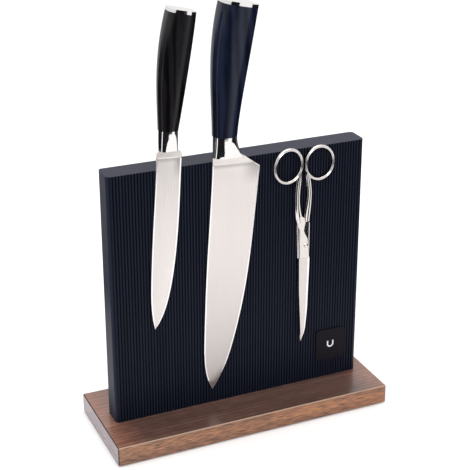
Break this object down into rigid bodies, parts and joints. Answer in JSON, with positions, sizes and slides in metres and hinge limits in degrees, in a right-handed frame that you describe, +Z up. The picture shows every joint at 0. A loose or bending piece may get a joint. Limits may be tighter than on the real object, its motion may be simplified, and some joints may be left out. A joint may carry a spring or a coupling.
{
  "type": "magnetic knife stand",
  "caption": "Upright magnetic stand with a fine-ribbed dark face on a walnut base, holding a chef's knife, a utility knife and a pair of ring-handled scissors that pull off its front.",
  "frame": {"origin": "on the table, under the middle of the base", "axes": "+X to the right as seen from the front, the ribbed front faces -Y, +Z up"},
  "size_m": [0.252, 0.096, 0.3728],
  "materials": {
    "walnut": "oiled walnut, fine pores, matt",
    "foot_rubber": "soft matt rubber",
    "zinc_steel": "zinc-plated steel",
    "insert_brass": "turned brass",
    "dowel_beech": "plain beech",
    "navy_shell": "very dark navy, soft matt",
    "navy_panel": "very dark navy, soft matt",
    "carrier_plastic": "moulded grey plastic",
    "magnet_ferrite": "dull dark ferrite",
    "badge_black": "smooth satin black",
    "badge_white": "matt white inlay",
    "blade_steel": "satin ground steel with faint layer lines",
    "bolster_steel": "mirror polished steel",
    "handle_navy": "dark navy-black pressed wood, satin",
    "handle_black": "brown-black pressed wood, satin",
    "scissor_plate": "bright nickel plate"
  },
  "bodies": {
    "stand": {"base_board": "walnut", "rubber_feet": "foot_rubber", "base_screws": "zinc_steel", "screw_washers": "zinc_steel", "threaded_inserts": "insert_brass", "locating_dowels": "dowel_beech", "front_shell": "navy_shell", "rear_panel": "navy_panel", "magnet_carrier": "carrier_plastic", "block_magnets": "magnet_ferrite", "keeper_strips": "zinc_steel", "badge": "badge_black", "badge_sign": "badge_white"},
    "chef_knife": {"chef_blade": "blade_steel", "chef_bolster": "bolster_steel", "chef_handle": "handle_navy", "chef_end_cap": "bolster_steel"},
    "utility_knife": {"utility_blade": "blade_steel", "utility_bolster": "bolster_steel", "utility_handle": "handle_black", "utility_end_cap": "bolster_steel"},
    "scissors": {"scissor_rear_half": "scissor_plate", "scissor_pivot": "scissor_plate"},
    "scissor_lever": {"scissor_front_half": "scissor_plate"}
  },
  "joints": [
    {"name": "chef_knife_pull", "type": "slide", "parent": "stand", "child": "chef_knife", "axis": [0, -1, 0], "range_m": [0, 0.12]},
    {"name": "utility_knife_pull", "type": "slide", "parent": "stand", "child": "utility_knife", "axis": [0, -1, 0], "range_m": [0, 0.12]},
    {"name": "scissors_pull", "type": "slide", "parent": "stand", "child": "scissors", "axis": [0, -1, 0], "range_m": [0, 0.12]},
    {"name": "scissor_open", "type": "hinge", "parent": "scissors", "child": "scissor_lever", "pos_m": [0.0588, -0.0145, 0.1535], "axis": [0, -1, 0], "range_deg": [0, 50]}
  ]
}
